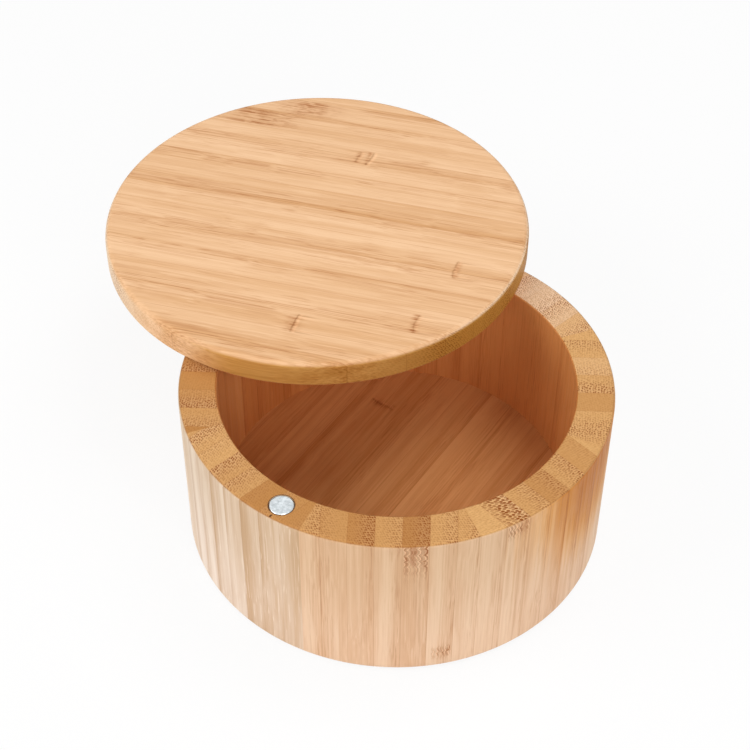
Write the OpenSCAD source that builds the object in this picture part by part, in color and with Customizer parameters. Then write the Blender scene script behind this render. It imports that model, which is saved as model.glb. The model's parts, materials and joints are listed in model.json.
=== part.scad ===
// Round wooden salt box with a swivel lid that turns about a hidden pin in the rim
// Origin: centre of the underside. +Z up, pin towards +Y, rim magnet towards -Y.
// The lid is modelled swung aside, as it stands when the box is open.

/* [Body] */
// Outside diameter of the round wall
body_d = 110; // [106:1:120]
// Height of the wall
body_h = 47; // [40:0.5:60]
// Thickness of the wall, across the rim
wall_t = 9.6; // [9:0.1:11]
// Radius of the rounded outer edge under the wall
foot_round = 1.5; // [0.5:0.1:2]
// Radius of the eased outer edge of the rim
rim_round = 0.9; // [0.3:0.1:1.5]
// Radius of the eased inner edge of the rim
mouth_round = 0.5; // [0.2:0.1:1]
// Turn of the first joint between two staves, in degrees from +X
first_joint = 8.2; // [7:0.1:12]

/* [Base] */
// Thickness of the base board
base_t = 6; // [4:0.5:8]
// How far the base board reaches under the wall
rebate_w = 3; // [2:0.5:4]
// Width left of the two outermost slats of the base and the lid, as a share of a whole slat
edge_share = 0.6; // [0.4:0.05:1]

/* [Lid] */
// How far the closed lid stands out past the wall all round
lid_overhang = 2.6; // [1.5:0.1:3.5]
// Thickness of the lid
lid_t = 7.2; // [7:0.1:9]
// Running gap between rim and lid
lid_gap = 0.2; // [0.15:0.05:0.4]
// Radius of the rounded upper edge of the lid
lid_round = 1.6; // [0.5:0.1:2]
// Radius of the eased lower edge of the lid
lid_ease = 0.5; // [0.2:0.1:1]
// How far the lid is swung aside from closed, in degrees
lid_swing = 72; // [0:1:108]

/* [Pin and magnets] */
// Diameter of the steel pivot pin
pin_d = 4; // [3:0.5:5]
// Length of the pin that is pressed into the wall
pin_in = 18; // [10:1:25]
// Length of the pin that stands in the lid
pin_up = 4.6; // [3.5:0.1:5]
// Radial running clearance of the lid's bore on the pin
pin_clear = 0.05; // [0.02:0.01:0.1]
// Room left above the end of the pin
pin_end_gap = 0.3; // [0.2:0.1:0.6]
// Diameter of each disc magnet
magnet_d = 6; // [5:0.5:6]
// Thickness of each disc magnet
magnet_t = 3; // [2:0.5:3]
// Radial glue gap between a magnet and its pocket
magnet_clear = 0.1; // [0.05:0.05:0.2]

/* [Hidden] */
$fn = 96;
NODES = [
  "wall_stave_1", "wall_stave_2", "wall_stave_3", "wall_stave_4",
  "wall_stave_5", "wall_stave_6", "wall_stave_7", "wall_stave_8",
  "base_slat_01", "base_slat_02", "base_slat_03", "base_slat_04",
  "base_slat_05", "base_slat_06", "base_slat_07", "base_slat_08",
  "base_slat_09", "base_slat_10", "base_slat_11", "base_slat_12",
  "base_slat_13", "pivot_pin", "rim_magnet", "lid_slat_01",
  "lid_slat_02", "lid_slat_03", "lid_slat_04", "lid_slat_05",
  "lid_slat_06", "lid_slat_07", "lid_slat_08", "lid_slat_09",
  "lid_slat_10", "lid_slat_11", "lid_slat_12", "lid_slat_13",
  "lid_slat_14", "lid_slat_15", "lid_magnet"
];

// Whether a name begins with a word
function begins(name, word, i = 0) =
  i == len(word) || (name[i] == word[i] && begins(name, word, i + 1));

// Number of pieces whose names begin with a word
function pieces(word) = len([for (name = NODES) if (begins(name, word)) name]);

body_r = body_d / 2;
cavity_r = body_r - wall_t;
seat_r = cavity_r + rebate_w;
pivot_r = body_r - wall_t / 2;
lid_r = body_r + lid_overhang;
lid_z = body_h + lid_gap;
stave_angle = 360 / pieces("wall_stave");
pin_bevel = 0.4;
magnet_bevel = 0.2;
// How far a cutting shape reaches past what it cuts
over = 1;
wood = [0.86, 0.66, 0.42];
wood_pale = [0.89, 0.70, 0.47];
steel = [0.72, 0.72, 0.74];
nickel = [0.82, 0.83, 0.85];

// What is cut off a square corner at (x, z) to leave a quarter round of radius r
// The corner points to +X if sx is 1 and to -X if it is -1, and sz is the same for Z
module corner_cut(x, z, r, sx, sz) {
  difference() {
    translate([sx > 0 ? x - r : x - over, sz > 0 ? z - r : z - over]) square([r + over, r + over]);
    translate([x - sx * r, z - sz * r]) circle(r);
  }
}

// Half section of the wall, with the rebate for the base board
module wall_profile() {
  difference() {
    translate([cavity_r, 0]) square([wall_t, body_h]);
    translate([cavity_r - over, -over]) square([rebate_w + over, base_t + over]);
    corner_cut(body_r, 0, foot_round, 1, -1);
    corner_cut(body_r, body_h, rim_round, 1, 1);
    corner_cut(cavity_r, body_h, mouth_round, -1, 1);
  }
}

// Half section of the lid
module lid_profile() {
  difference() {
    square([lid_r, lid_t]);
    corner_cut(lid_r, lid_t, lid_round, 1, 1);
    corner_cut(lid_r, 0, lid_ease, 1, -1);
  }
}

// Quarter of a turn about the centre line, from angle a on, as tall as the wall
module quarter(a) {
  rotate([0, 0, a]) translate([0, 0, -over]) cube([body_d, body_d, body_h + 2 * over]);
}

// Stave k of the round wall, between two upright planes through the centre line
module stave(k) {
  start = first_joint + k * stave_angle;
  intersection() {
    rotate_extrude() wall_profile();
    quarter(start);
    quarter(start + stave_angle - 90);
  }
}

// Hole for the pin, in the top of the wall
module pin_hole() {
  translate([0, pivot_r, body_h - pin_in]) cylinder(r = pin_d / 2, h = pin_in + over);
}

// Pocket for the magnet, in the top of the wall
module rim_pocket() {
  translate([0, -pivot_r, body_h - magnet_t])
    cylinder(r = magnet_d / 2 + magnet_clear, h = magnet_t + over);
}

// Room of slat k in a round board of n slats and radius r, from height z up by t
// The middle slat is centred on x = 0, and the two outermost are the narrower ones
module plank(k, n, r, z, t) {
  slat_w = 2 * r / (n - 2 + 2 * edge_share);
  mid = (n - 1) / 2;
  x_low = k == 0 ? -r - over : (k - mid - 0.5) * slat_w;
  x_high = k == n - 1 ? r + over : (k - mid + 0.5) * slat_w;
  translate([x_low, -r - over, z - over]) cube([x_high - x_low, 2 * (r + over), t + 2 * over]);
}

// Slat k of the base board
module base_slat(k) {
  color(wood) intersection() {
    cylinder(r = seat_r, h = base_t);
    plank(k, pieces("base_slat"), seat_r, 0, base_t);
  }
}

// Moves the closed lid to the side about the pin
module swung() {
  translate([0, pivot_r, 0]) rotate([0, 0, -lid_swing]) translate([0, -pivot_r, 0]) children();
}

// Slat k of the lid, before any hole
module lid_plank(k) {
  intersection() {
    translate([0, 0, lid_z]) rotate_extrude() lid_profile();
    plank(k, pieces("lid_slat"), lid_r, lid_z, lid_t);
  }
}

module wall_stave_1() { color(wood) stave(0); }

// Stave that holds the pivot pin
module wall_stave_2() {
  color(wood) difference() {
    stave(1);
    pin_hole();
  }
}

module wall_stave_3() { color(wood) stave(2); }
module wall_stave_4() { color(wood) stave(3); }
module wall_stave_5() { color(wood) stave(4); }

// Stave that holds the rim magnet
module wall_stave_6() {
  color(wood) difference() {
    stave(5);
    rim_pocket();
  }
}

module wall_stave_7() { color(wood) stave(6); }
module wall_stave_8() { color(wood) stave(7); }

module base_slat_01() { base_slat(0); }
module base_slat_02() { base_slat(1); }
module base_slat_03() { base_slat(2); }
module base_slat_04() { base_slat(3); }
module base_slat_05() { base_slat(4); }
module base_slat_06() { base_slat(5); }
module base_slat_07() { base_slat(6); }
module base_slat_08() { base_slat(7); }
module base_slat_09() { base_slat(8); }
module base_slat_10() { base_slat(9); }
module base_slat_11() { base_slat(10); }
module base_slat_12() { base_slat(11); }
module base_slat_13() { base_slat(12); }

module lid_slat_01() { color(wood_pale) swung() lid_plank(0); }
module lid_slat_02() { color(wood_pale) swung() lid_plank(1); }
module lid_slat_03() { color(wood_pale) swung() lid_plank(2); }
module lid_slat_04() { color(wood_pale) swung() lid_plank(3); }
module lid_slat_05() { color(wood_pale) swung() lid_plank(4); }
module lid_slat_06() { color(wood_pale) swung() lid_plank(5); }
module lid_slat_07() { color(wood_pale) swung() lid_plank(6); }

// Middle slat of the lid, with the blind bore for the pin and the pocket for the magnet
module lid_slat_08() {
  color(wood_pale) swung() difference() {
    lid_plank(7);
    translate([0, pivot_r, lid_z - over])
      cylinder(r = pin_d / 2 + pin_clear, h = pin_up + pin_end_gap + over);
    translate([0, -pivot_r, lid_z - over])
      cylinder(r = magnet_d / 2 + magnet_clear, h = magnet_t + over);
  }
}

module lid_slat_09() { color(wood_pale) swung() lid_plank(8); }
module lid_slat_10() { color(wood_pale) swung() lid_plank(9); }
module lid_slat_11() { color(wood_pale) swung() lid_plank(10); }
module lid_slat_12() { color(wood_pale) swung() lid_plank(11); }
module lid_slat_13() { color(wood_pale) swung() lid_plank(12); }
module lid_slat_14() { color(wood_pale) swung() lid_plank(13); }
module lid_slat_15() { color(wood_pale) swung() lid_plank(14); }

// Half section of a round rod with bevelled ends
module rod_profile(r, l, b) {
  polygon([[0, 0], [r - b, 0], [r, b], [r, l - b], [r - b, l], [0, l]]);
}

// Steel dowel, pressed into the wall, on which the lid turns
module pivot_pin() {
  color(steel) translate([0, pivot_r, body_h - pin_in])
    rotate_extrude() rod_profile(pin_d / 2, pin_in + lid_gap + pin_up, pin_bevel);
}

// Disc magnet, flush with the rim
module rim_magnet() {
  color(nickel) translate([0, -pivot_r, body_h - magnet_t])
    rotate_extrude() rod_profile(magnet_d / 2, magnet_t, magnet_bevel);
}

// Disc magnet, flush with the underside of the lid, over the rim magnet when closed
module lid_magnet() {
  color(nickel) swung() translate([0, -pivot_r, lid_z])
    rotate_extrude() rod_profile(magnet_d / 2, magnet_t, magnet_bevel);
}

wall_stave_1();
wall_stave_2();
wall_stave_3();
wall_stave_4();
wall_stave_5();
wall_stave_6();
wall_stave_7();
wall_stave_8();
base_slat_01();
base_slat_02();
base_slat_03();
base_slat_04();
base_slat_05();
base_slat_06();
base_slat_07();
base_slat_08();
base_slat_09();
base_slat_10();
base_slat_11();
base_slat_12();
base_slat_13();
pivot_pin();
rim_magnet();
lid_slat_01();
lid_slat_02();
lid_slat_03();
lid_slat_04();
lid_slat_05();
lid_slat_06();
lid_slat_07();
lid_slat_08();
lid_slat_09();
lid_slat_10();
lid_slat_11();
lid_slat_12();
lid_slat_13();
lid_slat_14();
lid_slat_15();
lid_magnet();
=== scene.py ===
"""Round bamboo salt box with a swivel lid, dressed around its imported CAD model, in metres."""

import json
import math

import bpy
from mathutils import Matrix, Vector


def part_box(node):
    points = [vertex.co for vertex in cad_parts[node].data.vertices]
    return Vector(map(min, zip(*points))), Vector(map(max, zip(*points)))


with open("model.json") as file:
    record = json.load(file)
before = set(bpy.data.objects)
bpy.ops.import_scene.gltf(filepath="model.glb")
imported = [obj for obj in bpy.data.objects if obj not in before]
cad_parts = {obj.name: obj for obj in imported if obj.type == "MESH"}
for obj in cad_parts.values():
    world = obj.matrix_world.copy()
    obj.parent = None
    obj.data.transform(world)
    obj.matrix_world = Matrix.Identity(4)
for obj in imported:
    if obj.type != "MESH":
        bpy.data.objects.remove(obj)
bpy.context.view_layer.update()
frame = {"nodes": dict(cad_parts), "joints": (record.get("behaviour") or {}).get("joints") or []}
scene = bpy.context.scene

# Camera
# It looks down on the open box from the front right, as the photograph does.
# Its place and lens come from fitting the rim, the foot and the lid to their outlines.
camera_place = Vector((0.16036, -0.25864, 0.34538))
camera_turn = math.radians(31.8)
camera_yaw = -0.0179
camera_pitch = 0.773
camera_roll = 0.0053
camera_lens = 81.1
sensor_width = 36.0

forward = Vector((
    math.sin(camera_yaw) * math.cos(camera_pitch),
    math.cos(camera_yaw) * math.cos(camera_pitch),
    -math.sin(camera_pitch),
))
level = Vector((math.cos(camera_yaw), -math.sin(camera_yaw), 0.0))
upward = level.cross(forward)
right = level * math.cos(camera_roll) + upward * math.sin(camera_roll)
top = upward * math.cos(camera_roll) - level * math.sin(camera_roll)
aim = Matrix((right, top, -forward)).transposed()
camera_data = bpy.data.cameras.new("camera")
camera_data.sensor_width = sensor_width
camera_data.lens = camera_lens
camera_data.clip_start = 0.01
camera = bpy.data.objects.new("camera", camera_data)
camera.matrix_world = (
    Matrix.Translation(camera_place) @ (Matrix.Rotation(camera_turn, 3, "Z") @ aim).to_4x4()
)
scene.collection.objects.link(camera)
scene.camera = camera
scene.view_settings.view_transform = "Standard"


# Studio
# A white floor and a white room, with wide soft lamps from the left, from the front right
# and from high over the rear. The floor shows white to the camera and keeps a faint shadow.
lamp_aim = Vector((0.0, 0.0, 0.03))
white = (1.0, 1.0, 1.0, 1.0)
room_strength = 0.36
floor_grey = (0.9, 0.9, 0.9, 1.0)
floor_roughness = 0.9
floor_half = 1.5
floor_level = -0.0002
floor_glow_share = 0.88


def soft_lamp(name, bearing, height, distance, size, power):
    """A square lamp at a bearing in degrees from +X, aimed at the box."""
    data = bpy.data.lights.new(name, "AREA")
    data.shape = "SQUARE"
    data.size = size
    data.energy = power
    lamp = bpy.data.objects.new(name, data)
    angle = math.radians(bearing)
    lamp.location = (distance * math.cos(angle), distance * math.sin(angle), height)
    towards = lamp_aim - lamp.location
    lamp.rotation_euler = towards.to_track_quat("-Z", "Y").to_euler()
    scene.collection.objects.link(lamp)


soft_lamp("lamp_left", bearing=-131.0, height=0.64, distance=0.88, size=0.7, power=4.7)
soft_lamp("lamp_front", bearing=-41.0, height=0.57, distance=0.87, size=0.6, power=4.4)
soft_lamp("lamp_back", bearing=60.0, height=1.05, distance=0.42, size=0.6, power=3.8)


def feed(tree, socket, value):
    """Links a socket to a node's input, or writes a plain value there."""
    if isinstance(value, bpy.types.NodeSocket):
        tree.links.new(value, socket)
    else:
        socket.default_value = value


def maths(tree, operation, *values, clamp=False):
    """A math node's result."""
    node = tree.nodes.new("ShaderNodeMath")
    node.operation = operation
    node.use_clamp = clamp
    for socket, value in zip(node.inputs, values):
        feed(tree, socket, value)
    return node.outputs[0]


def seen_share(tree, share):
    """The share for what the camera and shiny or clear surfaces see, and 0 for light given."""
    ray = tree.nodes.new("ShaderNodeLightPath").outputs
    seen = maths(tree, "MAXIMUM", ray["Is Camera Ray"], ray["Is Glossy Ray"])
    seen = maths(tree, "MAXIMUM", seen, ray["Is Transmission Ray"])
    return maths(tree, "MULTIPLY", seen, share)


def mixed(tree, share, first, second, surface):
    """Joins two shaders by a share and gives them to an output."""
    mix = tree.nodes.new("ShaderNodeMixShader")
    tree.links.new(share, mix.inputs["Fac"])
    tree.links.new(first.outputs[0], mix.inputs[1])
    tree.links.new(second.outputs[0], mix.inputs[2])
    tree.links.new(mix.outputs[0], surface)


room = bpy.data.worlds.new("room")
room.use_nodes = True
room_tree = room.node_tree
room_tree.nodes.clear()
room_light = room_tree.nodes.new("ShaderNodeBackground")
room_light.inputs["Color"].default_value = white
room_light.inputs["Strength"].default_value = room_strength
room_white = room_tree.nodes.new("ShaderNodeBackground")
room_white.inputs["Color"].default_value = white
room_white.inputs["Strength"].default_value = 1.0
room_out = room_tree.nodes.new("ShaderNodeOutputWorld")
mixed(room_tree, seen_share(room_tree, 1.0), room_light, room_white, room_out.inputs["Surface"])
scene.world = room

floor_mesh = bpy.data.meshes.new("floor")
floor_mesh.from_pydata(
    [(-floor_half, -floor_half, floor_level), (floor_half, -floor_half, floor_level),
     (floor_half, floor_half, floor_level), (-floor_half, floor_half, floor_level)],
    [],
    [(0, 1, 2, 3)],
)
floor = bpy.data.objects.new("floor", floor_mesh)
scene.collection.objects.link(floor)
floor_paint = bpy.data.materials.new("floor_white")
floor_paint.use_nodes = True
floor_tree = floor_paint.node_tree
floor_shader = floor_tree.nodes["Principled BSDF"]
floor_shader.inputs["Base Color"].default_value = floor_grey
floor_shader.inputs["Roughness"].default_value = floor_roughness
floor_glow = floor_tree.nodes.new("ShaderNodeEmission")
floor_glow.inputs["Color"].default_value = white
floor_glow.inputs["Strength"].default_value = 1.0
mixed(floor_tree, seen_share(floor_tree, floor_glow_share), floor_shader, floor_glow,
      floor_tree.nodes["Material Output"].inputs["Surface"])
floor.data.materials.append(floor_paint)


# Round wall
# Eight staves, each cut from a board of bamboo slats glued side by side and standing on
# end, then glued in a ring, turned round and sanded. The rim shows the slats' end grain,
# dotted with fibre bundles, and the sides show the same bundles as fine upright streaks.
def vector_of(tree, x, y, z):
    """Three values joined into a vector."""
    node = tree.nodes.new("ShaderNodeCombineXYZ")
    for socket, value in zip(node.inputs, (x, y, z)):
        feed(tree, socket, value)
    return node.outputs[0]


def parts_of(tree, vector):
    """The three values of a vector."""
    node = tree.nodes.new("ShaderNodeSeparateXYZ")
    feed(tree, node.inputs[0], vector)
    return node.outputs[0], node.outputs[1], node.outputs[2]


def stretched(tree, vector, scale):
    """A vector times a scale for each axis."""
    node = tree.nodes.new("ShaderNodeVectorMath")
    node.operation = "MULTIPLY"
    feed(tree, node.inputs[0], vector)
    feed(tree, node.inputs[1], scale)
    return node.outputs[0]


def noise(tree, vector, scale, detail=2.0):
    """Smooth noise from 0 to 1 in space."""
    node = tree.nodes.new("ShaderNodeTexNoise")
    node.inputs["Scale"].default_value = scale
    node.inputs["Detail"].default_value = detail
    feed(tree, node.inputs["Vector"], vector)
    return node.outputs["Fac"]


def smooth_step(tree, value, low, high, to_low=0.0, to_high=1.0):
    """A value that eases from to_low to to_high between two limits."""
    node = tree.nodes.new("ShaderNodeMapRange")
    node.interpolation_type = "SMOOTHSTEP"
    for name, number in (("Value", value), ("From Min", low), ("From Max", high),
                         ("To Min", to_low), ("To Max", to_high)):
        feed(tree, node.inputs[name], number)
    return node.outputs["Result"]


def blended(tree, share, first, second, kind="MIX"):
    """Two colours mixed by a share."""
    node = tree.nodes.new("ShaderNodeMix")
    node.data_type = "RGBA"
    node.blend_type = kind
    feed(tree, node.inputs["Factor"], share)
    feed(tree, node.inputs["A"], first)
    feed(tree, node.inputs["B"], second)
    return node.outputs["Result"]


def between(tree, share, first, second):
    """Two values mixed by a share."""
    node = tree.nodes.new("ShaderNodeMix")
    feed(tree, node.inputs["Factor"], share)
    feed(tree, node.inputs["A"], first)
    feed(tree, node.inputs["B"], second)
    return node.outputs["Result"]


def new_group(name, inputs, outputs):
    """An empty shader group with named sockets, and its input and output nodes."""
    tree = bpy.data.node_groups.new(name, "ShaderNodeTree")
    for label, (kind, value) in inputs.items():
        socket = tree.interface.new_socket(
            label, in_out="INPUT", socket_type="NodeSocket" + kind)
        if value is not None:
            socket.default_value = value
    for label, kind in outputs.items():
        tree.interface.new_socket(label, in_out="OUTPUT", socket_type="NodeSocket" + kind)
    given = tree.nodes.new("NodeGroupInput").outputs
    return tree, given, tree.nodes.new("NodeGroupOutput").inputs


def place_group(tree, group, **values):
    """A group node in a tree, fed with values by input name, spaces written as _."""
    node = tree.nodes.new("ShaderNodeGroup")
    node.node_tree = group
    for name, value in values.items():
        feed(tree, node.inputs[name.replace("_", " ")], value)
    return node.outputs


def tint(red, green, blue):
    """A colour given as it looks on a screen, 0 to 255, as the linear values of a socket."""
    def linear(part):
        part = part / 255.0
        return part / 12.92 if part <= 0.04045 else ((part + 0.055) / 1.055) ** 2.4
    return (linear(red), linear(green), linear(blue), 1.0)


# How a board is divided into slats: the slat's number, the place across it, fibres that
# start somewhere else in each slat, and the hairline of glue between two slats
slat_jump = (70.0, 90.0, 400.0)
glue_line = (0.02, 0.14)
slat_group, given, out = new_group(
    "board_slats",
    {"Vector": ("Vector", None), "Slat Width": ("Float", 6.4), "Shift": ("Float", 0.0),
     "Seed": ("Float", 0.0)},
    {"Slat": "Float", "Share": "Float", "Fibre Vector": "Vector", "Seam": "Float"},
)
across, depth, along = parts_of(slat_group, given["Vector"])
row = maths(slat_group, "DIVIDE", maths(slat_group, "SUBTRACT", across, given["Shift"]),
            given["Slat Width"])
slat_number = maths(slat_group, "FLOOR", row)
share_across = maths(slat_group, "SUBTRACT", row, slat_number)
chance = slat_group.nodes.new("ShaderNodeTexWhiteNoise")
chance.noise_dimensions = "2D"
feed(slat_group, chance.inputs["Vector"], vector_of(
    slat_group, slat_number, given["Seed"], 0.0))
chances = parts_of(slat_group, chance.outputs["Color"])
edge_gap = maths(slat_group, "MULTIPLY", given["Slat Width"], maths(
    slat_group, "SUBTRACT", 0.5,
    maths(slat_group, "ABSOLUTE", maths(slat_group, "SUBTRACT", share_across, 0.5))))
feed(slat_group, out["Seam"], smooth_step(slat_group, edge_gap, *glue_line, 1.0, 0.0))
feed(slat_group, out["Fibre Vector"], vector_of(slat_group, *(
    maths(slat_group, "MULTIPLY_ADD", share, spread, place)
    for share, spread, place in zip(chances, slat_jump, (across, depth, along)))))
feed(slat_group, out["Slat"], slat_number)
feed(slat_group, out["Share"], share_across)


def bell(tree, value, centre, width):
    """A bell curve of a value about a centre."""
    off = maths(tree, "DIVIDE", maths(tree, "SUBTRACT", value, centre), width)
    squared = maths(tree, "MULTIPLY", off, off)
    return maths(tree, "EXPONENT", maths(tree, "MULTIPLY", squared, -1.0))


# A culm node, where the bamboo had a joint: a wavering dark line across one slat with a
# paler one beside it, the same lines along the slat's edges, a brown shade, and fibres that
# weave from side to side. Lengths are in millimetres.
node_edge = 0.5
line_waver = 3.2
line_jitter = 0.5
side_line_fade = (7.0, 1.5)
zigzags = ((2.9, 0.3), (5.9, 0.1))
zigzag_drift = 11.0
stripe_pitch = 7.0
stripe_spread = 5.0
node_group, given, out = new_group(
    "culm_node",
    {"Vector": ("Vector", None), "Across": ("Float", 0.0), "Along": ("Float", 0.0),
     "Half Width": ("Float", 3.5), "Reach": ("Float", 2.6), "Line": ("Float", 1.0),
     "Side": ("Float", 1.0), "Weave": ("Float", 0.5), "Seed": ("Float", 0.0)},
    {"Dark": "Float", "Light": "Float", "Shade": "Float", "Bend": "Float"},
)
across, _, along = parts_of(node_group, given["Vector"])
aside = maths(node_group, "SUBTRACT", across, given["Across"])
onward = maths(node_group, "SUBTRACT", along, given["Along"])
inside = smooth_step(node_group, maths(node_group, "ABSOLUTE", aside),
                     maths(node_group, "SUBTRACT", given["Half Width"], node_edge),
                     given["Half Width"], 1.0, 0.0)
curve = maths(node_group, "MULTIPLY_ADD", noise(
    node_group, vector_of(node_group, aside, given["Seed"], 0.0), 0.14, 0.0),
    line_waver, -line_waver / 2)
jitter = maths(node_group, "MULTIPLY_ADD", noise(
    node_group, vector_of(node_group, aside, given["Seed"], 5.0), 1.1, 1.0),
    line_jitter, -line_jitter / 2)
line_place = maths(node_group, "ADD", onward, maths(node_group, "ADD", curve, jitter))
patchy = smooth_step(node_group, noise(
    node_group, vector_of(node_group, aside, onward, given["Seed"]), 0.8), 0.3, 0.5, 0.4, 1.0)
drawn = maths(node_group, "MULTIPLY", inside, given["Line"])
along_side = maths(node_group, "MULTIPLY", line_place, given["Side"])
side_reach = maths(node_group, "MULTIPLY", maths(
    node_group, "MULTIPLY", smooth_step(node_group, along_side, -0.1, 0.3),
    smooth_step(node_group, along_side, *side_line_fade)), smooth_step(node_group, noise(
        node_group, vector_of(node_group, aside, maths(node_group, "MULTIPLY", onward, 0.3),
                              given["Seed"]), 0.3, 1.0), 0.36, 0.56, 0.3, 0.9))
near = maths(node_group, "MULTIPLY", inside, bell(node_group, onward, 0.0, given["Reach"]))

# Where the fibres weave, they show as parallel zigzags, dark and pale in turn
drift = maths(node_group, "MULTIPLY", noise(node_group, vector_of(
    node_group, maths(node_group, "MULTIPLY", aside, 0.25), onward, given["Seed"]),
    0.16, 1.0), zigzag_drift)
zigzag = 0.0
for pace, depth in zigzags:
    zigzag = maths(node_group, "MULTIPLY_ADD", maths(node_group, "SINE", maths(
        node_group, "MULTIPLY_ADD", onward, pace, drift)), depth, zigzag)
bend = maths(node_group, "MULTIPLY", near, maths(
    node_group, "MULTIPLY", given["Weave"], zigzag))
feed(node_group, out["Bend"], bend)
spread = maths(node_group, "MULTIPLY", noise(
    node_group, vector_of(node_group, aside, given["Seed"], 0.0), 0.6, 0.0), stripe_spread)
stripe = maths(node_group, "SINE", maths(node_group, "MULTIPLY_ADD", maths(
    node_group, "ADD", aside, bend), stripe_pitch, spread))
woven = maths(node_group, "MULTIPLY", near, maths(
    node_group, "MULTIPLY", given["Weave"], patchy))
for label, place, width, share, inset, low, high, strength in (
        ("Dark", 0.0, 0.26, patchy, 0.6, -0.35, -0.9, 0.35),
        ("Light", 0.8, 0.45, 1.0, 1.2, 0.6, 0.98, 1.5)):
    cross_line = maths(
        node_group, "MULTIPLY", bell(node_group, line_place, place, width), share)
    side_line = maths(node_group, "MULTIPLY", side_reach, bell(
        node_group, maths(node_group, "ABSOLUTE", aside),
        maths(node_group, "SUBTRACT", given["Half Width"], inset), width))
    weave_line = maths(node_group, "MULTIPLY", woven, smooth_step(
        node_group, stripe, low, high, 0.0, strength))
    feed(node_group, out[label], maths(node_group, "MAXIMUM", weave_line, maths(
        node_group, "MULTIPLY", drawn, maths(node_group, "MAXIMUM", cross_line, side_line))))
mottled = smooth_step(node_group, noise(
    node_group, stretched(node_group, vector_of(node_group, aside, onward, given["Seed"]),
                          (0.9, 0.35, 1.0)), 1.0, 3.0), 0.35, 0.62, 0.3, 1.0)
feed(node_group, out["Shade"], maths(node_group, "MULTIPLY", near, mottled))

# The fibres of one slat: bundles that run along the grain. A cut across them shows rows
# of dots, and a cut along them shows streaks. Coarse slats have fewer and larger bundles.
# The dots' spacing is in millimetres, and their core and rim are shares of it.
dot_scatter = 0.5
row_squeeze = 0.9
fine_dots = (0.66, 0.24, 0.48)
coarse_dots = (0.84, 0.36, 0.54)
fibre_scales = (
    ("Streaks", (2.3, 2.3, 0.03), 2.0),
    ("Dashes", (2.6, 2.6, 0.16), 1.0),
    ("Bands", (0.36, 0.36, 0.012), 2.0),
    ("Fluff", (1.3, 1.3, 0.9), 3.0),
)
fibre_group, given, out = new_group(
    "bamboo_fibres",
    {"Fibre Vector": ("Vector", None), "Coarse": ("Float", 0.0), "Bend": ("Float", 0.0)},
    {"Bundles": "Float", "Streaks": "Float", "Dashes": "Float", "Bands": "Float",
     "Fluff": "Float"},
)
across, depth, along = parts_of(fibre_group, given["Fibre Vector"])
drift = noise(fibre_group, stretched(
    fibre_group, given["Fibre Vector"], (0.05, 0.05, 0.03)), 1.0)
fibre_across = maths(fibre_group, "ADD", across, given["Bend"])
fibre_depth = maths(fibre_group, "MULTIPLY_ADD", drift, 4.0, depth)
fibres = vector_of(fibre_group, fibre_across, fibre_depth, along)


def bundle_dots(tree, across, depth, spacing, core, rim):
    """Dots a spacing apart in staggered rows, each of its own strength."""
    cells = tree.nodes.new("ShaderNodeTexVoronoi")
    cells.voronoi_dimensions = "2D"
    cells.inputs["Scale"].default_value = 1.0
    cells.inputs["Randomness"].default_value = dot_scatter
    rows = maths(tree, "DIVIDE", depth, spacing)
    columns = maths(tree, "DIVIDE", across, spacing * row_squeeze)
    feed(tree, cells.inputs["Vector"], vector_of(
        tree, maths(tree, "MULTIPLY_ADD", rows, 0.5, columns), rows, 0.0))
    strength = smooth_step(tree, parts_of(tree, cells.outputs["Color"])[0], 0.0, 0.8, 0.5, 1.0)
    dots = smooth_step(tree, cells.outputs["Distance"], core, rim, 1.0, 0.0)
    return maths(tree, "MULTIPLY", dots, strength)


feed(fibre_group, out["Bundles"], between(
    fibre_group, given["Coarse"],
    bundle_dots(fibre_group, fibre_across, fibre_depth, *fine_dots),
    bundle_dots(fibre_group, fibre_across, fibre_depth, *coarse_dots)))
for label, scale, detail in fibre_scales:
    feed(fibre_group, out[label], noise(fibre_group, stretched(
        fibre_group, fibres, scale), 1.0, detail))

# Colour, roughness and relief of sanded bamboo, from the grain that the other groups give
bamboo_group, given, out = new_group(
    "sanded_bamboo",
    {"End": ("Float", 0.0), "Grain": ("Float", 1.0), "Bundles": ("Float", 0.0),
     "Streaks": ("Float", 0.5), "Dashes": ("Float", 0.5), "Bands": ("Float", 0.5),
     "Fluff": ("Float", 0.5),
     "Place": ("Float", 0.5), "Tone": ("Float", 0.5), "Dots": ("Float", 0.5),
     "Seam": ("Float", 0.0), "Dark": ("Float", 0.0), "Light": ("Float", 0.0),
     "Shade": ("Float", 0.0), "Tinted": ("Float", 0.0), "Pale": ("Color", None),
     "Deep": ("Color", None), "End Pale": ("Color", None), "End Deep": ("Color", None),
     "Bundle": ("Color", None), "Streak": ("Color", None), "Mark": ("Color", None),
     "Tint": ("Color", None)},
    {"Colour": "Color", "Roughness": "Float", "Height": "Float"},
)
tree = bamboo_group

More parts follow.
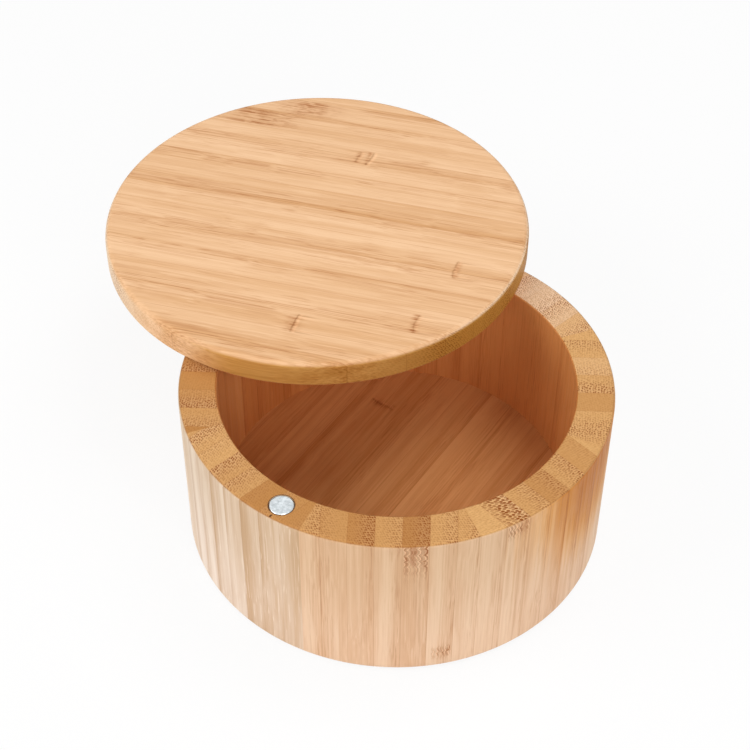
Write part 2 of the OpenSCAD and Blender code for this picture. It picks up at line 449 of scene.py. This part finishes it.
# The sides, along the grain: bands, pale and dark streaks, and a darker edge to each slat
band_share = maths(tree, "MULTIPLY_ADD", given["Tone"], 0.6, smooth_step(
    tree, given["Bands"], 0.32, 0.68, -0.1, 0.4))
band_share = maths(tree, "ADD", band_share, smooth_step(
    tree, given["Place"], 0.7, 1.0, 0.0, 0.3))
side_colour = blended(tree, band_share, given["Pale"], given["Deep"])
side_colour = blended(tree, smooth_step(tree, given["Streaks"], 0.44, 0.3, 0.0, 0.5),
                      side_colour, given["Pale"])
grained = smooth_step(tree, given["Place"], 0.3, 0.95, 0.35, 1.0)
side_dark = maths(tree, "ADD", smooth_step(tree, given["Streaks"], 0.48, 0.72, 0.0, 0.5),
                  smooth_step(tree, given["Dashes"], 0.58, 0.74, 0.0, 0.3))
side_dark = maths(tree, "MULTIPLY", maths(tree, "MULTIPLY", grained, given["Grain"]), maths(
    tree, "MULTIPLY_ADD", given["Bundles"], 0.2, side_dark))
side_dark = maths(tree, "ADD", side_dark, maths(tree, "MULTIPLY", given["Shade"], smooth_step(
    tree, given["Streaks"], 0.42, 0.56, 0.0, 0.7)))
side_colour = blended(tree, side_dark, side_colour, given["Streak"], "MULTIPLY")

# The ends, across the grain: a flat tone for each slat, and the dots of its bundles
end_colour = blended(tree, given["Tone"], given["End Pale"], given["End Deep"])
end_colour = blended(tree, smooth_step(tree, given["Tone"], 1.0, 2.0, 0.0, 0.8),
                     end_colour, given["Bundle"])
end_colour = blended(tree, smooth_step(tree, given["Tone"], 0.0, -1.0, 0.0, 0.8),
                     end_colour, given["Pale"])
end_colour = blended(tree, smooth_step(tree, given["Fluff"], 0.35, 0.7, 0.0, 0.25),
                     end_colour, given["End Deep"])
dot_share = maths(tree, "MULTIPLY", given["Dots"], smooth_step(
    tree, given["Place"], 0.15, 0.9, 0.25, 1.15))
dot_share = maths(tree, "MULTIPLY", dot_share, smooth_step(
    tree, given["Fluff"], 0.35, 0.6, 1.1, 0.75))
end_colour = blended(tree, maths(tree, "MULTIPLY", dot_share, 0.08, clamp=True),
                     end_colour, given["Pale"])
dot_share = maths(tree, "MINIMUM", maths(tree, "ADD", dot_share, 0.14), 0.95)
end_colour = blended(tree, maths(tree, "MULTIPLY", given["Bundles"], dot_share),
                     end_colour, given["Bundle"])

# Both together, with the tint, and the culm nodes on the sides only
colour = blended(tree, given["End"], side_colour, end_colour)
colour = blended(tree, given["Tinted"], colour, given["Tint"], "MULTIPLY")
long_grain = maths(tree, "SUBTRACT", 1.0, given["End"])
for label, share, shade in (("Shade", 0.3, "Streak"), ("Dark", 0.65, "Mark")):
    colour = blended(tree, maths(tree, "MULTIPLY", long_grain, maths(
        tree, "MULTIPLY", given[label], share)), colour, given[shade], "MULTIPLY")
colour = blended(tree, maths(tree, "MULTIPLY", given["Seam"], 0.3), colour, given["Streak"],
                 "MULTIPLY")
colour = blended(tree, maths(tree, "MULTIPLY", long_grain, maths(
    tree, "MULTIPLY", given["Light"], 0.16)), colour, given["Pale"], "ADD")
feed(tree, out["Colour"], colour)
feed(tree, out["Roughness"], maths(tree, "MULTIPLY_ADD", given["Fluff"], 0.14, maths(
    tree, "MULTIPLY_ADD", given["Bundles"], 0.20, 0.40)))
relief = maths(tree, "MULTIPLY", given["Bundles"], maths(
    tree, "MULTIPLY_ADD", given["End"], -0.1, -0.08))
for label, share in (("Streaks", 0.3), ("Seam", -0.15), ("Dark", -0.6), ("Light", 0.3)):
    relief = maths(tree, "MULTIPLY_ADD", given[label], share, relief)
feed(tree, out["Height"], relief)

# Colours of the bamboo, as they look in plain light, and colours with painted sheen, shade and
# warm reflection in them
end_pale = tint(223, 173, 112)
end_deep = tint(189, 132, 72)
bundle_brown = tint(136, 66, 6)
streak_tint = tint(202, 166, 132)
mark_tint = tint(180, 152, 116)
wall_pale = tint(240, 207, 176)
wall_deep = tint(222, 180, 144)
# Painted sheen: paler, less saturated colours for the two staves at the left, where a bright
# lamp washes the wood out
strong_sheen_pale = tint(247, 226, 205)
strong_sheen_deep = tint(234, 207, 180)
soft_sheen_pale = tint(250, 231, 214)
soft_sheen_deep = tint(211, 175, 140)
# Painted shade: a deeper, more saturated colour inside the cavity
cavity_shade_tint = tint(235, 188, 132)
# Painted warm shade and reflection, amber, on the outside of two staves
warm_shade_tint = tint(240, 199, 114)
warm_shade_core = tint(206, 150, 66)
# Painted shade that makes the outside a little darker towards the rim
rim_shade_tint = tint(238, 235, 226)
wood_shine = 0.16
relief_strength = 0.35
relief_depth = 0.0001
millimetres = (1000.0, 1000.0, 1000.0)


def bamboo_material(name, turn, slat_width, shift, seed, table, colours, tinted, marks=(),
                    tilt=0.0, swing=None, grain_strength=1.0, ends=None):
    """Sanded bamboo whose grain runs along z of the turned and tilted coordinates.

    table is the number of the first slat and, for each slat, its tone, the strength of its
    dots and the side, 0 or 1, that has more of them. marks are culm nodes as (across,
    along, half width, reach, line, side, weave), in millimetres. tinted gives a share and
    a colour that multiplies the bamboo's own, from the tree, the grain coordinates and the
    direction that the surface faces. swing is the place and the angle that turn a swung
    board back to its joint's lower limit. grain_strength scales the dark streaks. ends is
    the pale and the deep colour of the end grain, where it isn't the wall's.
    """
    pale, deep = colours
    pale_end, deep_end = ends or (end_pale, end_deep)
    material = bpy.data.materials.new(name)
    material.use_nodes = True
    tree = material.node_tree
    shader = tree.nodes["Principled BSDF"]
    shader.inputs["Specular IOR Level"].default_value = wood_shine
    place = tree.nodes.new("ShaderNodeTexCoord")

    def turned(vector, kind):
        """A place or a direction in the board's own frame."""
        if swing is not None:
            back = tree.nodes.new("ShaderNodeVectorRotate")
            back.rotation_type = "Z_AXIS"
            if kind == "POINT":
                back.inputs["Center"].default_value = swing[0]
            back.inputs["Angle"].default_value = swing[1]
            feed(tree, back.inputs["Vector"], vector)
            vector = back.outputs[0]
        mapping = tree.nodes.new("ShaderNodeMapping")
        mapping.vector_type = kind
        mapping.inputs["Rotation"].default_value = (tilt, 0.0, turn)
        feed(tree, mapping.inputs["Vector"], vector)
        return mapping.outputs[0]

    grain = stretched(tree, turned(place.outputs["Object"], "POINT"), millimetres)
    facing = turned(place.outputs["Normal"], "VECTOR")
    end = smooth_step(tree, maths(tree, "ABSOLUTE", parts_of(tree, facing)[2]), 0.45, 0.8)
    slats = place_group(
        tree, slat_group, Vector=grain, Slat_Width=slat_width, Shift=shift, Seed=seed)

    # The table travels in a colour ramp, scaled to values from 0 to 1, and is scaled back
    first, rows = table
    ramp = tree.nodes.new("ShaderNodeValToRGB")
    ramp.color_ramp.interpolation = "CONSTANT"
    ramp.color_ramp.elements.remove(ramp.color_ramp.elements[1])
    for index, (tone, dots, side) in enumerate(rows):
        if index:
            ramp.color_ramp.elements.new(index / len(rows))
        ramp.color_ramp.elements[index].position = index / len(rows)
        ramp.color_ramp.elements[index].color = ((tone + 1) / 3, dots / 2, side, 1.0)
    feed(tree, ramp.inputs[0], maths(
        tree, "MULTIPLY_ADD", slats["Slat"], 1.0 / len(rows), (0.5 - first) / len(rows)))
    tone, dots, side = parts_of(tree, ramp.outputs[0])
    tone = maths(tree, "MULTIPLY_ADD", tone, 3.0, -1.0)
    dots = maths(tree, "MULTIPLY", dots, 2.0)
    place_in_slat = between(
        tree, side, maths(tree, "SUBTRACT", 1.0, slats["Share"]), slats["Share"])
    coarse = maths(tree, "GREATER_THAN", dots, 1.2)

    dark, light, shade, bend = 0.0, 0.0, 0.0, 0.0
    labels = ("Across", "Along", "Half_Width", "Reach", "Line", "Side", "Weave")
    for index, mark in enumerate(marks):
        values = dict(zip(labels, mark))
        drawn = place_group(tree, node_group, Vector=grain, Seed=seed + 3.7 * index, **values)
        dark = maths(tree, "MAXIMUM", drawn["Dark"], dark)
        light = maths(tree, "MAXIMUM", drawn["Light"], light)
        shade = maths(tree, "MAXIMUM", drawn["Shade"], shade)
        bend = maths(tree, "ADD", drawn["Bend"], bend)
    fibres = place_group(tree, fibre_group, Fibre_Vector=slats["Fibre Vector"], Coarse=coarse,
                         Bend=bend)
    tint_share, tint_colour = tinted(tree, grain, facing)
    finish = place_group(
        tree, bamboo_group, End=end, Grain=grain_strength, Bundles=fibres["Bundles"],
        Streaks=fibres["Streaks"], Dashes=fibres["Dashes"], Bands=fibres["Bands"],
        Fluff=fibres["Fluff"],
        Place=place_in_slat, Tone=tone, Dots=dots, Seam=slats["Seam"], Dark=dark, Light=light,
        Shade=shade, Tinted=tint_share, Pale=pale, Deep=deep, End_Pale=pale_end,
        End_Deep=deep_end, Bundle=bundle_brown, Streak=streak_tint, Mark=mark_tint,
        Tint=tint_colour)
    feed(tree, shader.inputs["Base Color"], finish["Colour"])
    feed(tree, shader.inputs["Roughness"], finish["Roughness"])
    relief = tree.nodes.new("ShaderNodeBump")
    relief.inputs["Strength"].default_value = relief_strength
    relief.inputs["Distance"].default_value = relief_depth
    feed(tree, relief.inputs["Height"], finish["Height"])
    feed(tree, shader.inputs["Normal"], relief.outputs[0])
    return material


def dress(node, material):
    """Gives a CAD piece its material."""
    piece = frame["nodes"][node]
    piece.data.materials.clear()
    piece.data.materials.append(material)


# For each stave: the width of its slats, where a glue line falls, its table of slats from
# number -4 on, and its culm nodes
stave_boards = (
    (6.4, 2.6, ((0.00, 0.50, 0), (0.10, 0.60, 0), (-0.25, 0.35, 1), (0.20, 0.85, 1),
                (0.60, 0.05, 1), (0.20, 0.60, 1), (0.25, 0.60, 0), (0.40, 0.50, 1)), ()),
    # The second stave's slats of tone below 0 have paler end grain, a painted highlight on the
    # rim
    (6.4, 1.0, ((0.50, 0.40, 0), (0.20, 0.70, 1), (-0.60, 0.30, 0), (-0.95, 0.60, 0),
                (-0.80, 0.50, 1), (-0.60, 0.70, 0), (-0.30, 0.70, 1), (0.10, 0.50, 0)), ()),
    (6.4, 4.2, ((0.30, 0.60, 0), (0.60, 0.20, 1), (0.25, 0.80, 1), (0.45, 0.50, 0),
                (0.75, 0.30, 0), (0.20, 0.60, 1), (0.50, 0.70, 0), (0.35, 0.20, 1)),
     ((-5.4, 14.0, 3.1, 3.0, 0.7, 1.0, 0.3),)),
    (6.4, 2.2, ((0.40, 0.30, 1), (0.20, 0.60, 0), (0.55, 0.70, 0), (0.80, 0.20, 1),
                (0.30, 0.50, 1), (0.45, 0.80, 0), (0.15, 0.40, 0), (0.50, 0.60, 1)), ()),
    (6.4, 0.6, ((1.15, 0.30, 0), (0.50, 0.50, 0), (0.75, 0.90, 0), (0.90, 0.05, 0),
                (0.80, 0.80, 0), (0.40, 0.50, 0), (0.20, 0.50, 1), (0.40, 0.40, 0)), ()),
    (5.9, 1.7, ((0.92, 0.20, 0), (0.85, 0.30, 1), (1.00, 0.15, 1), (0.45, 0.55, 1),
                (0.45, 0.75, 1), (0.15, 0.35, 1), (0.20, 0.85, 1), (0.40, 0.50, 1)), ()),
    (6.4, 3.4, ((0.35, 0.80, 0), (0.35, 0.60, 0), (1.25, 0.80, 0), (0.50, 0.45, 0),
                (1.00, 0.85, 0), (0.65, 0.30, 1), (0.45, 0.60, 0), (0.35, 0.30, 0)),
     ((-6.2, 44.0, 3.1, 6.5, 0.0, 0.0, 1.0), (-13.0, 6.0, 2.6, 2.2, 0.0, 0.0, 0.7))),
    (6.4, 1.6, ((0.15, 0.10, 0), (0.60, 0.15, 0), (0.40, 0.75, 0), (0.80, 0.60, 0),
                (0.40, 0.60, 0), (0.10, 2.00, 0), (0.05, 0.10, 0), (0.05, 0.10, 0)),
     ((11.2, 45.0, 3.1, 3.0, 0.0, 0.0, 0.8),)),
)
first_joint = 8.2
stave_angle = 45.0
# Painted warm shade and reflection: an amber patch on the outside of the first and last staves,
# its centre and reach in millimetres
warm_shade_place = Vector((55.0, 4.0, 47.0))
warm_shade_reach = (34.0, 42.0, 46.0)
magnet_place = Vector((0.0, -50.2, 0.0))
# The ring of painted shadow round the magnet, and the place and size of the real split beside it
pocket_ring = (3.45, 3.15)
split_offset = Vector((-0.8, 4.4, 0.0))
split_reach = (0.24, 1.0, 0.0)


def painted_shade_side(tree, grain, facing):
    """Painted shade: the cavity's deeper colour, and outside wood that is a little darker
    towards the rim.
    """
    outward = parts_of(tree, facing)[1]
    cavity = smooth_step(tree, outward, -0.3, -0.7)
    rim_shade_share = maths(tree, "MULTIPLY", smooth_step(tree, outward, 0.3, 0.7), smooth_step(
        tree, parts_of(tree, grain)[2], 2.0, 44.0))
    return (maths(tree, "ADD", cavity, rim_shade_share),
            blended(tree, cavity, rim_shade_tint, cavity_shade_tint))


def span_from(tree, grain, centre, reach):
    """The distance from a point, each axis measured by its own reach and 0 left out."""
    offset = tree.nodes.new("ShaderNodeVectorMath")
    offset.operation = "SUBTRACT"
    feed(tree, offset.inputs[0], grain)
    feed(tree, offset.inputs[1], centre)
    span = tree.nodes.new("ShaderNodeVectorMath")
    span.operation = "LENGTH"
    feed(tree, span.inputs[0], stretched(
        tree, offset.outputs[0], tuple(1.0 / part if part else 0.0 for part in reach)))
    return span.outputs["Value"]


def with_warm_shade(turn):
    """The cavity and rim shade, and a painted warm shade and reflection high on the outside, an
    amber patch that fades into streaks.
    """
    def tinted(tree, grain, facing):
        centre = Matrix.Rotation(turn, 3, "Z") @ warm_shade_place
        streaky = noise(tree, stretched(tree, grain, (0.7, 0.7, 0.012)), 1.0, 2.0)
        distance = maths(tree, "MULTIPLY_ADD", streaky, 0.45, maths(
            tree, "ADD", span_from(tree, grain, centre, warm_shade_reach), -0.24))
        outside = smooth_step(tree, parts_of(tree, facing)[1], 0.6, 0.9)
        warm_shade_share = maths(tree, "MULTIPLY", outside, smooth_step(
            tree, distance, 1.0, 0.36, 0.0, 0.95))
        share, colour = painted_shade_side(tree, grain, facing)
        golden = blended(tree, smooth_step(tree, distance, 0.7, 0.1), warm_shade_tint, warm_shade_core)
        return maths(tree, "MAXIMUM", warm_shade_share, share), blended(tree, warm_shade_share, colour, golden)
    return tinted


def with_pocket(turn):
    """The cavity and rim shade, and a painted shadow in the ring round the magnet's pocket, with
    a short dark split in the wood.
    """
    def tinted(tree, grain, facing):
        centre = Matrix.Rotation(turn, 3, "Z") @ magnet_place
        ring = smooth_step(
            tree, span_from(tree, grain, centre, (1.0, 1.0, 0.0)), *pocket_ring)
        split = smooth_step(
            tree, span_from(tree, grain, centre + split_offset, split_reach), 1.2, 0.7)
        pocket_shadow_and_split = maths(tree, "MULTIPLY", maths(tree, "MAXIMUM", ring, split), smooth_step(
            tree, parts_of(tree, facing)[2], 0.7, 0.9))
        share, colour = painted_shade_side(tree, grain, facing)
        return maths(tree, "MAXIMUM", pocket_shadow_and_split, share), blended(tree, pocket_shadow_and_split, colour, pocket_shadow_and_split_colour)
    return tinted


# Painted shadow in the gap round the rim magnet, and the colour of the short split beside it
pocket_shadow_and_split_colour = tint(96, 76, 66)
tints = {0: with_warm_shade, 5: with_pocket, 7: with_warm_shade}
# Painted sheen on the fifth and sixth staves: their own paler colours and weaker dark streaks
sheen_board_colours = {4: (strong_sheen_pale, strong_sheen_deep), 5: (soft_sheen_pale, soft_sheen_deep)}
plain_grain = 0.75
sheen_grain = 0.3
for index, (slat_width, cut, rows, marks) in enumerate(stave_boards):
    turn = math.radians(90.0 - first_joint - stave_angle * (index + 0.5))
    name = f"wall_stave_{index + 1}"
    dress(name, bamboo_material(
        name + "_bamboo", turn=turn, slat_width=slat_width, shift=cut, seed=11.0 + index,
        table=(-4, rows), marks=marks,
        colours=sheen_board_colours.get(index, (wall_pale, wall_deep)),
        grain_strength=sheen_grain if index in sheen_board_colours else plain_grain,
        tinted=tints[index](turn) if index in tints else painted_shade_side))

# Base
# A round board of flat bamboo slats, let into a rebate under the wall and glued there.
# It shows inside as the floor of the cavity, and underneath, flush with the foot.
base_names = sorted(name for name in frame["nodes"] if name.startswith("base_slat"))
base_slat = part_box(base_names[1])[1].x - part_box(base_names[1])[0].x
base_pale = tint(236, 194, 148)
base_deep = tint(212, 162, 110)
# Painted shade on the cavity's floor
base_shade_tint = tint(240, 212, 180)
base_grain = 0.7
base_marks = ((12.0, -14.0, 3.9, 1.2, 0.5, 1.0, 0.2), (-20.0, 25.0, 3.9, 1.2, 0.5, -1.0, 0.2))
base_rows = ((0.4, 0.3, 1), (0.7, 0.5, 1), (0.2, 0.2, 1), (0.5, 0.4, 0), (0.9, 0.6, 1),
             (0.3, 0.2, 0), (0.6, 0.5, 1), (0.1, 0.3, 1), (0.5, 0.6, 0), (0.8, 0.3, 1),
             (0.3, 0.4, 1), (0.6, 0.2, 0), (0.4, 0.5, 1))


def shaded_upper_side(tree, grain, facing):
    """Painted shade: a deeper colour for the side that shows in the cavity."""
    return smooth_step(tree, parts_of(tree, facing)[1], -0.3, -0.7), base_shade_tint


base_bamboo = bamboo_material(
    "base_bamboo", turn=0.0, tilt=math.radians(90.0), slat_width=base_slat * 1000.0,
    shift=base_slat * 500.0, seed=40.0, table=(-7, base_rows),
    colours=(base_pale, base_deep), tinted=shaded_upper_side, grain_strength=base_grain,
    marks=base_marks)
for name in base_names:
    dress(name, base_bamboo)

# Lid
# A flat disc turned from a board of bamboo slats, with a rounded upper edge. Its grain
# runs from the pin towards the catch. The box stands open, so the lid is swung aside.
swivel = next(joint for joint in frame["joints"] if joint["name"] == "lid_swivel")
lid_swing = math.radians(-swivel["range_deg"][0])
lid_names = sorted(name for name in frame["nodes"] if name.startswith("lid_slat"))
lid_slat = 8.113
lid_pale = tint(248, 205, 162)
lid_deep = tint(222, 170, 119)
# Paler end grain for the lid, a painted reflection where it shows untinted at the catch's end
lid_end_reflection_pale = tint(246, 218, 186)
lid_end_reflection_deep = tint(236, 200, 160)
edge_long_tint = tint(224, 206, 148)
edge_end_tint = tint(201, 165, 90)
lid_rows = ((0.5, 0.4, 0), (0.5, 0.3, 0), (0.35, 0.4, 0), (0.3, 0.3, 1), (0.2, 0.5, 0),
            (0.35, 0.4, 0), (0.7, 0.6, 1), (0.3, 0.5, 0), (0.25, 0.3, 1), (0.3, 0.5, 0),
            (0.25, 0.3, 0), (0.35, 0.4, 1), (0.6, 0.4, 0), (0.7, 0.5, 1), (0.75, 0.5, 0))
lid_marks = (
    (-29.5, 6.2, 3.2, 0.6, 0.7, 0.0, 0.0),
    (-29.5, 3.4, 2.8, 0.8, 0.5, -1.0, 0.0),
    (11.0, 41.5, 3.7, 0.8, 0.7, 1.0, 0.0),
    (42.0, 6.0, 3.7, 1.8, 0.9, 1.0, 0.0),
    (34.2, 36.0, 3.7, 1.0, 0.5, 1.0, 0.0),
    (-40.4, -29.0, 4.0, 9.5, 0.0, 0.0, 0.0),
    (-48.2, -17.5, 3.8, 7.5, 0.0, 0.0, 0.0),
)


def edge_side(tree, grain, facing):
    """A yellower colour for the turned edge, apart from its paler end by the catch, where the
    pale end colours stay untinted as a painted reflection.
    """
    upward, along = parts_of(tree, facing)[1:]
    edge = smooth_step(tree, maths(tree, "ABSOLUTE", upward), 0.75, 0.25)
    golden = smooth_step(tree, along, -0.4, -0.08)
    ends = smooth_step(tree, maths(tree, "ABSOLUTE", along), 0.45, 0.8)
    return (maths(tree, "MULTIPLY", edge, golden),
            blended(tree, ends, edge_long_tint, edge_end_tint))


lid_bamboo = bamboo_material(
    "lid_bamboo", turn=0.0, tilt=math.radians(90.0),
    swing=(Vector(swivel["pos_m"]), lid_swing), slat_width=lid_slat, shift=lid_slat / 2,
    seed=61.0, table=(-8, lid_rows), colours=(lid_pale, lid_deep),
    ends=(lid_end_reflection_pale, lid_end_reflection_deep), tinted=edge_side, marks=lid_marks)
for name in lid_names:
    dress(name, lid_bamboo)

# Pivot pin
# A plain ground steel dowel that the lid turns on. It is pressed into the wall and hidden
# when the lid is on, with fine rings around it from grinding.
pin_rings = (300.0, 300.0, 9000.0)
pin_steel = bpy.data.materials.new("pin_steel")
pin_steel.use_nodes = True
tree = pin_steel.node_tree
shader = tree.nodes["Principled BSDF"]
shader.inputs["Metallic"].default_value = 1.0
place = tree.nodes.new("ShaderNodeTexCoord")
rings = noise(tree, stretched(tree, place.outputs["Object"], pin_rings), 1.0)
feed(tree, shader.inputs["Base Color"], blended(
    tree, rings, tint(178, 178, 180), tint(214, 214, 216)))
feed(tree, shader.inputs["Roughness"], smooth_step(tree, rings, 0.3, 0.7, 0.22, 0.38))
dress("pivot_pin", pin_steel)

# Magnets
# Two nickel-plated discs, one glued into a pocket in the rim and one into the lid's
# underside, where they meet when the box is shut. Their plating is slightly scuffed.
grit_scale = 1500.0
cloud_scale = 700.0
scuff_strength = 0.5
scuff_depth = 0.00005
magnet_nickel = bpy.data.materials.new("magnet_nickel")
magnet_nickel.use_nodes = True
tree = magnet_nickel.node_tree
shader = tree.nodes["Principled BSDF"]
shader.inputs["Metallic"].default_value = 1.0
place = tree.nodes.new("ShaderNodeTexCoord")
grit = noise(tree, place.outputs["Object"], grit_scale, 3.0)
cloud = noise(tree, place.outputs["Object"], cloud_scale, 2.0)
feed(tree, shader.inputs["Base Color"], blended(
    tree, smooth_step(tree, grit, 0.36, 0.62), tint(190, 197, 200), tint(214, 220, 223)))
feed(tree, shader.inputs["Roughness"], smooth_step(tree, cloud, 0.3, 0.7, 0.25, 0.5))
relief = tree.nodes.new("ShaderNodeBump")
relief.inputs["Strength"].default_value = scuff_strength
relief.inputs["Distance"].default_value = scuff_depth
feed(tree, relief.inputs["Height"], grit)
feed(tree, shader.inputs["Normal"], relief.outputs[0])
dress("rim_magnet", magnet_nickel)
dress("lid_magnet", magnet_nickel)
